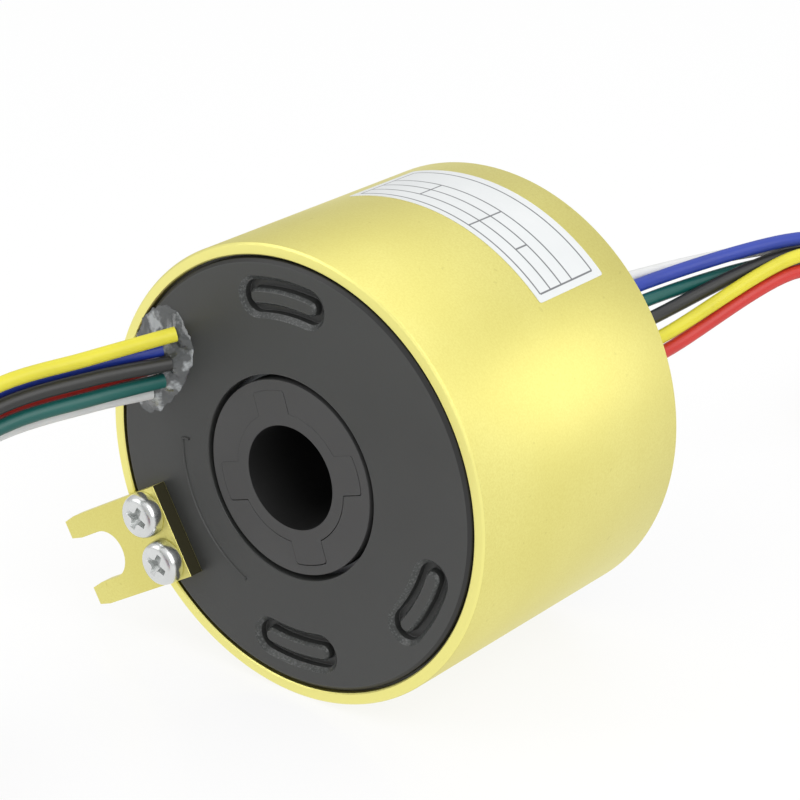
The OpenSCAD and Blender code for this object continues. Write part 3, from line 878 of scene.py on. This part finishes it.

# %% [markdown]
# ## Tab
# The fork is stamped from plate. Its edges keep the small burr radius of the punch, and it is dyed
# with the sleeve, so it takes the same gold. Its inner end face is coloured a dark olive.

# %% Outline offset


def inset(outline, depth):
    """Moves a closed outline inwards by depth, square to its edges."""
    area = sum(ax * bz - bx * az for (ax, az), (bx, bz) in zip(outline, outline[1:] + outline[:1]))
    sign = 1 if area > 0 else -1
    moved = []
    for i, point in enumerate(outline):
        p = Vector(point)
        a = (p - Vector(outline[i - 1])).normalized()
        b = (Vector(outline[(i + 1) % len(outline)]) - p).normalized()
        na, nb = Vector((-a.y, a.x)), Vector((-b.y, b.x))
        n = (na + nb).normalized()
        moved.append(tuple(p + n * (sign * depth / max(0.4, n.dot(na)))))
    return moved


# %% Dark end of the fork
tab_end = metal("tab_sawn_end", rgb(52, 49, 26), 0.5)
tab_end.node_tree.nodes["Principled BSDF"].inputs["Metallic"].default_value = 0.3

# %% Fork plate
TAB_IN, TAB_LEN, TAB_HALF, TAB_T = 20.25, 17.8, 5.85, 2.0
SLOT_HALF, SLOT_FLARE, TIP_TAPER, BURR = 3.0, 0.3, 0.3, 0.07
TAB_TOP = FACE_Y - TAB_T


def fork_outline():
    tip = TAB_IN + TAB_LEN
    shoulder = tip - 1.8
    side = [(TAB_IN, TAB_HALF), (shoulder, TAB_HALF), (tip, TAB_HALF - TIP_TAPER), (tip, SLOT_HALF + SLOT_FLARE),
            (shoulder, SLOT_HALF)]
    around = [(u, -v) for u, v in side] + arc(SLOT_HALF, -90, -270, 28, (tip - 5, 0)) + side[::-1]
    return [tab_point(u, v) for u, v in around]


tab = Solid()
edge = fork_outline()
sides = [(inset(edge, BURR), TAB_TOP), (inset(edge, 0.02), TAB_TOP + 0.02), (edge, TAB_TOP + BURR),
         (edge, FACE_Y - BURR), (inset(edge, 0.05), FACE_Y)]
tab_rings = [tab.ring(at(outline, y)) for outline, y in sides]
tab.stack(tab_rings)
front_holes, rear_holes = screw_holes(tab, 1.6, TAB_TOP, FACE_Y)
tab.fill(tab_rings[0], *front_holes)
tab.fill(tab_rings[-1], *rear_holes)
out_x, out_z = polar(1, TAB_ANGLE)
for face in tab.bm.faces:
    middle = face.calc_center_median() / MM
    deep = TAB_TOP + 0.12 < middle.y < FACE_Y - 0.05
    if deep and middle.x * out_x + middle.z * out_z < TAB_IN + 0.03:
        face.material_index = 1
settle(tab.piece("tab_fork", gold_skin, tab_end, sharp=20), "stator", "gold_anodised", "tab_plate")

# %% [markdown]
# ## Repeats with Geometry Nodes
# Screws, balls, contact rings and barriers are one shape made many times. A small node tree places
# copies of a pattern piece, each one turned about the bore and moved along a step from the last.

# %% Repeat tree


def repeat_tree(material):
    tree = bpy.data.node_groups.new("repeat_about_bore", "GeometryNodeTree")
    face = tree.interface
    for name, kind in (("Pattern", "NodeSocketObject"), ("Count", "NodeSocketInt"),
                       ("Turn", "NodeSocketFloat"), ("Step", "NodeSocketVector")):
        face.new_socket(name, in_out="INPUT", socket_type=kind)
    face.new_socket("Geometry", in_out="OUTPUT", socket_type="NodeSocketGeometry")
    n = {}
    for key, kind in (("in", "NodeGroupInput"), ("out", "NodeGroupOutput"), ("points", "GeometryNodePoints"),
                      ("index", "GeometryNodeInputIndex"), ("pattern", "GeometryNodeObjectInfo"),
                      ("move", "ShaderNodeVectorMath"), ("turn", "ShaderNodeMath"),
                      ("spin", "ShaderNodeCombineXYZ"), ("copy", "GeometryNodeInstanceOnPoints"),
                      ("real", "GeometryNodeRealizeInstances"), ("paint", "GeometryNodeSetMaterial")):
        n[key] = tree.nodes.new(kind)
    n["move"].operation = "SCALE"
    n["turn"].operation = "MULTIPLY"
    n["paint"].inputs["Material"].default_value = material
    wires = (
        ("in", "Count", "points", "Count"), ("in", "Step", "move", 0), ("index", 0, "move", "Scale"),
        ("move", 0, "points", "Position"), ("in", "Pattern", "pattern", "Object"), ("index", 0, "turn", 0),
        ("in", "Turn", "turn", 1), ("turn", 0, "spin", "Y"), ("points", 0, "copy", "Points"),
        ("pattern", "Geometry", "copy", "Instance"), ("spin", 0, "copy", "Rotation"), ("copy", 0, "real", 0),
        ("real", 0, "paint", "Geometry"), ("paint", 0, "out", 0),
    )
    for source, output, target, socket in wires:
        tree.links.new(n[source].outputs[output], n[target].inputs[socket])
    return tree


def applied(name, piece, helper):
    """The piece as its modifier leaves it, as a plain mesh; it and its helper are then removed."""
    bpy.context.view_layer.update()
    mesh = bpy.data.meshes.new_from_object(piece.evaluated_get(bpy.context.evaluated_depsgraph_get()))
    for thing in (piece, helper):
        bpy.data.objects.remove(thing)
    mesh.name = name
    return shown(name, mesh)


def repeated(name, pattern, material, count, turn=0.0, step=(0, 0, 0)):
    """Copies of the pattern piece as one plain mesh."""
    tree = repeat_tree(material)
    carrier = linked(name + "_carrier", bpy.data.meshes.new(name + "_carrier"))
    modifier = carrier.modifiers.new("repeat", "NODES")
    modifier.node_group = tree
    wanted = {"Pattern": pattern, "Count": count, "Turn": math.radians(turn), "Step": [c * MM for c in step]}
    for item in tree.interface.items_tree:
        if item.in_out == "INPUT":
            modifier[item.identifier] = wanted[item.name]
    carrier.update_tag()
    return applied(name, carrier, pattern)


def carved(piece, cutter):
    """The piece with the cutter's shape taken out of it, as a plain mesh."""
    modifier = piece.modifiers.new("carve", "BOOLEAN")
    modifier.operation, modifier.solver, modifier.object = "DIFFERENCE", "EXACT", cutter
    return applied(piece.name, piece, cutter)


# %% [markdown]
# ## Tab screws
# Two M3 pan-head screws, plated. The head is nearly flat on top and rolls over at its edge.
# The cross recess is cut by a punch with four tapered wings.

# %% Screw head with a cross recess
HEAD_TOP = TAB_TOP - 1.9


def cross_outline(reach, wing, waist, turn):
    quarter = [(reach, -wing), (reach, wing), (waist * 1.15, waist * 0.78), (waist * 0.78, waist * 1.15)]
    return [point for k in range(4) for point in rotated(quarter, 90 * k + turn)]


def pan_head_screw(centre, turn):
    head = Solid()
    crown = [(0.35, 0), (1.2, 0.01), (1.75, 0.04), (2.1, 0.09), (2.35, 0.18), (2.53, 0.33), (2.66, 0.55),
             (2.74, 0.85), (2.79, 1.25)]
    profile = [(r, HEAD_TOP + depth) for r, depth in crown]
    profile += [(2.8, TAB_TOP - 0.12), (2.72, TAB_TOP), (1.5, TAB_TOP), (1.5, 4.0), (1.1, 4.4)]
    head.capped([head.ring(at(circle(r, 64, centre), y)) for r, y in profile])
    punch = Solid()
    wings = [at(cross_outline(reach, wing, waist, turn), HEAD_TOP + depth) for reach, wing, waist, depth in (
        (1.66, 0.4, 0.6, -0.3), (1.56, 0.37, 0.56, 0.02), (0.8, 0.22, 0.34, 0.95))]
    moved = [[(centre[0] + x, y, centre[1] + z) for x, y, z in wing] for wing in wings]
    punch.capped([punch.ring(wing) for wing in moved], flat=True)
    return carved(head.piece("tab_screw", plated_steel), punch.piece("punch", plated_steel))


first = tab_point(SCREW_U, -SCREW_GAP / 2)
second = tab_point(SCREW_U, SCREW_GAP / 2)
screw_step = (second[0] - first[0], 0, second[1] - first[1])
screws = repeated("tab_screws_pair", pan_head_screw(first, -24), plated_steel, 2, 0, screw_step)
settle(screws, "stator", "plated_steel", "tab_screws")

# %% Collar screw holes and set screws
SET_ANGLE, SET_TURN = 120, 90
SET_Y = TUBE_END - 3.5


def rod(solid, radius, start, end, angle, count=40):
    """A round rod that points away from the bore at an angle, at the set screws' place along it."""
    rings = []
    for distance in (start, end):
        points = []
        for along, across in circle(radius, count):
            x, z = rotated([(distance, across)], angle)[0]
            points.append((x, SET_Y + along, z))
        rings.append(solid.ring(points))
    solid.capped(rings)


drill = Solid()
for k in range(3):
    rod(drill, 1.55, 8.0, 13, SET_ANGLE + SET_TURN * k)
drilled = carved(collar_blank, drill.piece("drill", rotor_plastic))
settle(drilled, "rotor", "grey_moulding", "rear_collar")

set_screw = Solid()
rod(set_screw, 1.5, 6.6, 11.6, SET_ANGLE)
socket = Solid()
rod(socket, 0.86, 10.2, 12.5, SET_ANGLE, 6)
set_pattern = carved(set_screw.piece("set_screw", black_steel), socket.piece("socket", black_steel))
set_screws = repeated("collar_set_screws", set_pattern, black_steel, 3, -SET_TURN)
settle(set_screws, "rotor", "black_steel", "collar_screws")

# %% [markdown]
# ## Name label
# A white printed film on the sleeve, ruled into boxes. It is bent to the sleeve's radius, and its UV
# map holds the angle and the place along the bore, so that the ruling is drawn in true sizes.
# The words of the real label are left off.

# %% Printed film
DEGREE_MM = math.radians(1) * SLEEVE_R
RULE_W = 0.2


def ruled_film():
    f = Finish("label_film")
    uv = f.add("ShaderNodeUVMap", {"uv_map": "print"})
    angle, along, _ = f.axes(uv)

    def line(value, place, width):
        return 1 - f.band((value - place).call("ABSOLUTE"), width * 0.35, width * 0.75)

    def between(value, low, high):
        return f.band(value, low - 0.03, low + 0.03) * (1 - f.band(value, high - 0.03, high + 0.03))

    ink = 0
    for place in (21.9, 23.9, 26.0, 28.1, 32.0):
        part = line(along, place, RULE_W) * between(angle, 47.2, 105)
        ink = part if isinstance(ink, int) else ink.call("MAXIMUM", part)
    columns = ((47.2, 21.9, 32), (105, 21.9, 32), (90, 23.9, 28.1), (71.8, 21.9, 28.1), (60, 23.9, 26))
    for place, low, high in columns:
        part = line(angle * DEGREE_MM, place * DEGREE_MM, RULE_W) * between(along, low, high)
        ink = ink.call("MAXIMUM", part)
    slow = f.grain(f.place(), 180, 3)
    paper = f.blend(slow, rgb(206, 209, 210), rgb(214, 216, 216))
    colour = f.blend(ink * 0.9, paper, rgb(84, 86, 90))
    normal = f.bump(f.grain(f.place(), 1800, 2), 0.05, 0.00003)
    return f.done(Base_Color=colour, Roughness=0.38 + slow * 0.08, Normal=normal)


LABEL_A, LABEL_Y, LABEL_CORNER, LABEL_T = (45.2, 107.5), (21.0, 33.3), 0.35, 0.06
label_finish = ruled_film()


def label_columns():
    """(angle, low y, high y) for each column of the film, with rounded corners."""
    span = (LABEL_A[1] - LABEL_A[0]) * DEGREE_MM
    edge = [LABEL_CORNER * (1 - math.cos(math.radians(90 * i / 6))) for i in range(7)]
    middle = [LABEL_CORNER + (span - 2 * LABEL_CORNER) * i / 60 for i in range(1, 60)]
    columns = []
    for s in edge + middle + [span - e for e in reversed(edge)]:
        near = min(s, span - s)
        inset_by = max(0, LABEL_CORNER - near)
        cut = LABEL_CORNER - math.sqrt(LABEL_CORNER ** 2 - inset_by ** 2)
        columns.append((LABEL_A[0] + s / DEGREE_MM, LABEL_Y[0] + cut, LABEL_Y[1] - cut))
    return columns


label = Solid()
film_uv = label.bm.loops.layers.uv.new("print")
film_rings = []
for angle, low, high in label_columns():
    c, s = polar(1, angle)
    outer_r = SLEEVE_R + LABEL_T
    corners = ((SLEEVE_R, low), (outer_r, low), (outer_r, high), (SLEEVE_R, high))
    film_rings.append(label.ring([(r * c, y, r * s) for r, y in corners]))
label.capped(film_rings)
for face in label.bm.faces:
    for loop in face.loops:
        x, y, z = loop.vert.co / MM
        loop[film_uv].uv = (math.degrees(math.atan2(z, x)), y)
settle(label.piece("name_film", label_finish), "stator", "label_film", "name_label")

# %% [markdown]
# ## Potting
# The fixed leads are sealed where they leave the cover with a clear compound. It creeps out over the
# face in a thin skin and climbs a little way up each lead.

# %% Clear compound


def compound():
    f = Finish("potting")
    place = f.place()
    lump = f.grain(place, 420, 4, 0.6)
    cloud = f.band(f.grain(place, 520, 3), 0.5, 0.66)
    colour = f.blend(cloud, rgb(66, 69, 70), rgb(158, 162, 164))
    normal = f.bump(lump, 0.5, 0.0006)
    return f.done(Base_Color=colour, Roughness=0.14 + cloud * 0.15, Coat_Weight=0.6, Normal=normal)


compound_finish = compound()
POT_OUTLINE = [(-21.6, 15.3), (-19.2, 16.6), (-16.6, 16.1), (-14.6, 12.9), (-14.9, 9.8), (-16.8, 6.6),
               (-19.2, 3.9), (-21.7, 2.6), (-23.6, 3.9), (-24.6, 7.2), (-23.6, 11.8)]
POT_CENTRE = (-19.4, 9.8)
POT_HEIGHT, POT_RINGS = 1.45, 24


def closed_spline(points, count):
    out, n = [], len(points)
    for i in range(count):
        k, t = divmod(n * i / count, 1)
        out.append(spline([Vector(points[(int(k) + j) % n]) for j in (-1, 0, 1, 2)], t))
    return out


def lumps(x, z, scale, offset):
    return noise.noise(Vector((x * scale, z * scale, offset)))


def potting_height(x, z, share):
    """Height of the compound over the face: a thin skin that climbs the leads."""
    climb = max(math.exp(-(((x - lx) ** 2 + (z - lz) ** 2) / 2.6)) for (lx, _, lz), *_ in front_leads.values())
    skin = 0.16 * (1 - share ** 4) + 0.1
    rough = lumps(x, z, 0.9, 3.1) * 0.26 + lumps(x, z, 2.3, 7.7) * 0.2
    return max(0.03, (skin + climb * POT_HEIGHT + rough * (1 - share * 0.6)) * (1 - share ** 6))


pot = Solid()
border = closed_spline(POT_OUTLINE, 120)
pot_rings = []
for j in range(1, POT_RINGS + 1):
    share = j / POT_RINGS
    ring = []
    for p in border:
        reach = share * (1 + 0.08 * lumps(p.x, p.y, 0.8, 0) + 0.045 * lumps(p.x, p.y, 2.1, 4))
        x, z = (middle + (edge - middle) * reach for middle, edge in zip(POT_CENTRE, p))
        ring.append((x, FACE_Y - potting_height(x, z, share), z))
    pot_rings.append(pot.ring(ring))
pot_rings.append(pot.ring([(v.co.x / MM, FACE_Y + 0.1, v.co.z / MM) for v in pot_rings[-1]]))
pot.stack(pot_rings)
pot.close(pot_rings[0])
pot.fill(pot_rings[-1])
settle(pot.piece("outlet_potting", compound_finish, sharp=60), "stator", "potting", "stator_potting")

rear_pot = Solid()
rear_pot.capped([rear_pot.ring(at(bean(REAR_WIRE_R, *LEAD_SLOT, width), y)) for width, y in (
    (0.98, 43.05), (0.98, 44.95), (0.92, 45.2), (0.7, 45.38))], flat=True)
settle(rear_pot.piece("collar_potting", compound_finish), "rotor", "potting", "rotor_potting")

# %% [markdown]
# ## Inside the housing
# These pieces are sealed in, but they are part of the product, so they get their real finishes too.

# %% Contact rings, barriers and bearings
RING_R, RING_W, GROOVE_R = 12.6, 2.2, 12.2
BARRIER_R, BARRIER_T, STACK_Y = 14.2, 1.1, 8.55
STACK_STEP = (0, RING_W + BARRIER_T, 0)
STACK_SIDES = 96
BALL_R, BALL_PITCH_R, BALLS = 1.55, 10.75, 12

y = STACK_Y + BARRIER_T + RING_W / 2
contact = turned_ring([
    (COLLAR_IN_R, y - 1.1), (RING_R, y - 1.1), (RING_R, y - 0.9), (GROOVE_R, y - 0.5), (RING_R, y - 0.1),
    (RING_R, y + 0.1), (GROOVE_R, y + 0.5), (RING_R, y + 0.9), (RING_R, y + 1.1), (COLLAR_IN_R, y + 1.1)],
    STACK_SIDES)
contacts = repeated("contact_rings", contact.piece("contact_ring", gold_plate), gold_plate, 6, 0, STACK_STEP)
settle(contacts, "rotor", "gold_contact", *[f"contact_ring_{i}" for i in range(1, 7)])

wall = turned_ring([
    (COLLAR_IN_R, STACK_Y), (BARRIER_R - 0.1, STACK_Y), (BARRIER_R, STACK_Y + 0.1), (BARRIER_R, STACK_Y + 1.0),
    (BARRIER_R - 0.1, STACK_Y + BARRIER_T), (COLLAR_IN_R, STACK_Y + BARRIER_T)], STACK_SIDES)
walls = repeated("barriers", wall.piece("barrier", black_plastic_and_gap_shade), black_plastic_and_gap_shade, 7, 0, STACK_STEP)
settle(walls, "rotor", "black_moulding", *[f"barrier_{i}" for i in range(1, 8)])

for name, middle in (("front", 4.7), ("rear", 33.3)):
    ball = bmesh.new()
    bmesh.ops.create_uvsphere(ball, u_segments=24, v_segments=14, radius=BALL_R * MM,
                              matrix=Matrix.Translation((BALL_PITCH_R * MM, middle * MM, 0)))
    ball_mesh = bpy.data.meshes.new("ball")
    ball.to_mesh(ball_mesh)
    ball.free()
    ball_mesh.materials.append(race_steel)
    balls = repeated(name + "_ball_set", shown("ball", ball_mesh, 0), race_steel, BALLS, 360 / BALLS)
    settle(balls, "ball_cages", "bearing_steel", name + "_balls")

# %% Finishes for the CAD pieces that stay
carried = {
    race_steel: ("front_bearing_outer", "front_bearing_inner", "rear_bearing_outer", "rear_bearing_inner"),
    cage_nylon: ("front_cage", "rear_cage"),
    black_plastic_and_gap_shade: ("brush_block_upper", "brush_block_lower", "front_spacer", "rear_spacer"),
    gold_plate: ("brush_wires_upper", "brush_wires_lower"),
    board_green: ("brush_board_upper", "brush_board_lower"),
    lead_finish["white"]: ("stator_leads", "rotor_leads"),
}
for material, nodes in carried.items():
    for node in nodes:
        mesh = frame["nodes"][node].data
        mesh.materials.clear()
        mesh.materials.append(material)

# %% [markdown]
# ## Ties
# A nylon tie holds each coil: a flat strap all the way round the bundle, with the small square head
# that locks it.

# %% Cable ties
TIE_W, TIE_T = 2.6, 0.28
TIE_LOW, TIE_BOTTOM, TIE_TOP, TIE_CORNER = 3.05, 0.32, 11.6, 0.9
TIE_BEYOND = 1.98
HEAD_UP, HEAD_SIDE_HALF, HEAD_UP_HALF = 5.6, 2.0, 1.8


def strap_loop(high, grow):
    """The strap's outline across the coil, (outwards, up), with round corners."""
    radius = TIE_CORNER + grow
    low, bottom = TIE_LOW + TIE_CORNER, TIE_BOTTOM + TIE_CORNER
    high, top = high - TIE_CORNER, TIE_TOP - TIE_CORNER
    corners = ((high, top), (low, top), (low, bottom), (high, bottom))
    return [point for k, centre in enumerate(corners) for point in arc(radius, 90 * k, 90 * k + 90, 6, centre)]


def tie_strap(name, centre, turn_r, angle):
    """A strap round the coil's section, across the bundle at an angle about the coil's middle."""
    def world(out, side, up):
        x, y = rotated([(out, side)], angle)[0]
        return (centre[0] + x, centre[1] + y, FLOOR_Z / MM + up)

    high = turn_r + TIE_BEYOND
    solid = Solid()
    rings = [solid.ring([world(out, side, up) for out, up in strap_loop(high, grow)])
             for grow, side in ((TIE_T, -TIE_W / 2), (TIE_T, TIE_W / 2), (0, TIE_W / 2), (0, -TIE_W / 2))]
    solid.stack(rings + rings[:1])
    solid.capped([solid.ring([world(high + out, a * (HEAD_SIDE_HALF + grow), HEAD_UP + b * (HEAD_UP_HALF + grow))
                              for a, b in ((-1, -1), (1, -1), (1, 1), (-1, 1))])
                  for out, grow in ((0.3, 0), (0.45, 0.15), (1.9, 0.15), (2.05, 0))])
    return solid.piece(name, tie_nylon)


settle(tie_strap("tie_front", FRONT_COIL, FRONT_TURN_R, -60), "stator", "cable_tie", "stator_tie")
settle(tie_strap("tie_rear", REAR_COIL, REAR_TURN_R, 120), "rotor", "cable_tie", "rotor_tie")
